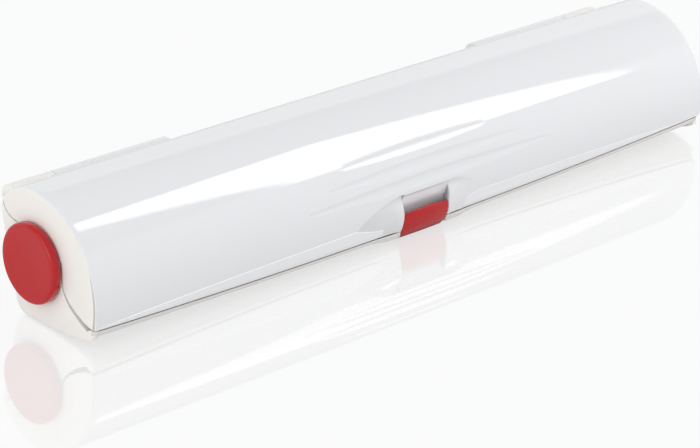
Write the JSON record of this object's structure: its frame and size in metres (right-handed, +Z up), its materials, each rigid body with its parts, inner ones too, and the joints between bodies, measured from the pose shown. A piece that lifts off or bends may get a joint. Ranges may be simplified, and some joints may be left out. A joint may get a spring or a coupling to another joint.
{
  "type": "cling film cutter",
  "caption": "Long hinged tube-shaped dispenser that holds a roll of cling film between turning plugs and cuts the film along its lid, opened by a front button.",
  "frame": {"origin": "on the surface the cutter stands on, straight below the roll axis, at the middle of the length", "axes": "+X along the tube to the right seen from the front, -Y towards the front with the button, +Z up"},
  "size_m": [0.385, 0.067, 0.0591],
  "materials": {
    "gloss_white": "glossy, cool white, moulded",
    "warm_white": "satin, warm off-white, moulded",
    "inner_plastic": "satin off-white, unseen inside",
    "red_plastic": "glossy red, moulded",
    "grip_rubber": "matte",
    "foot_rubber": "matte",
    "steel": "bright drawn steel",
    "blade_steel": "ground edge, rolled faces"
  },
  "bodies": {
    "base": {"base_tray": "warm_white", "base_end_left": "warm_white", "base_end_right": "warm_white", "cutting_bar": "inner_plastic", "film_strip": "grip_rubber", "bar_screws": "steel", "feet": "foot_rubber", "button_guide": "inner_plastic", "hinge_pin_left": "steel", "hinge_pin_right": "steel"},
    "lid": {"lid_shell": "gloss_white", "lid_end_left": "warm_white", "lid_end_right": "warm_white", "blade_carrier": "inner_plastic", "blade": "blade_steel", "blade_rivets": "inner_plastic", "lid_catch": "steel"},
    "button": {"release_button": "red_plastic", "button_spring": "steel"},
    "reel_left": {"knob_left": "red_plastic", "core_plug_left": "inner_plastic", "knob_screw_left": "steel"},
    "reel_right": {"knob_right": "red_plastic", "core_plug_right": "inner_plastic", "knob_screw_right": "steel"}
  },
  "joints": [
    {"name": "lid_hinge", "type": "hinge", "parent": "base", "child": "lid", "pos_m": [0, 0.02201, 0.0486], "axis": [-1, 0, 0], "range_deg": [0, 105]},
    {"name": "button_press", "type": "slide", "parent": "base", "child": "button", "axis": [0, 1, 0], "range_m": [0, 0.0025], "stiffness_N_per_m": 900, "springref_m": -0.002, "deforming": ["button_spring"]},
    {"name": "left_knob_turn", "type": "hinge", "parent": "base", "child": "reel_left", "pos_m": [-0.18, 0, 0.0277], "axis": [1, 0, 0], "continuous": true},
    {"name": "right_knob_turn", "type": "hinge", "parent": "base", "child": "reel_right", "pos_m": [0.18, 0, 0.0277], "axis": [1, 0, 0], "continuous": true}
  ]
}
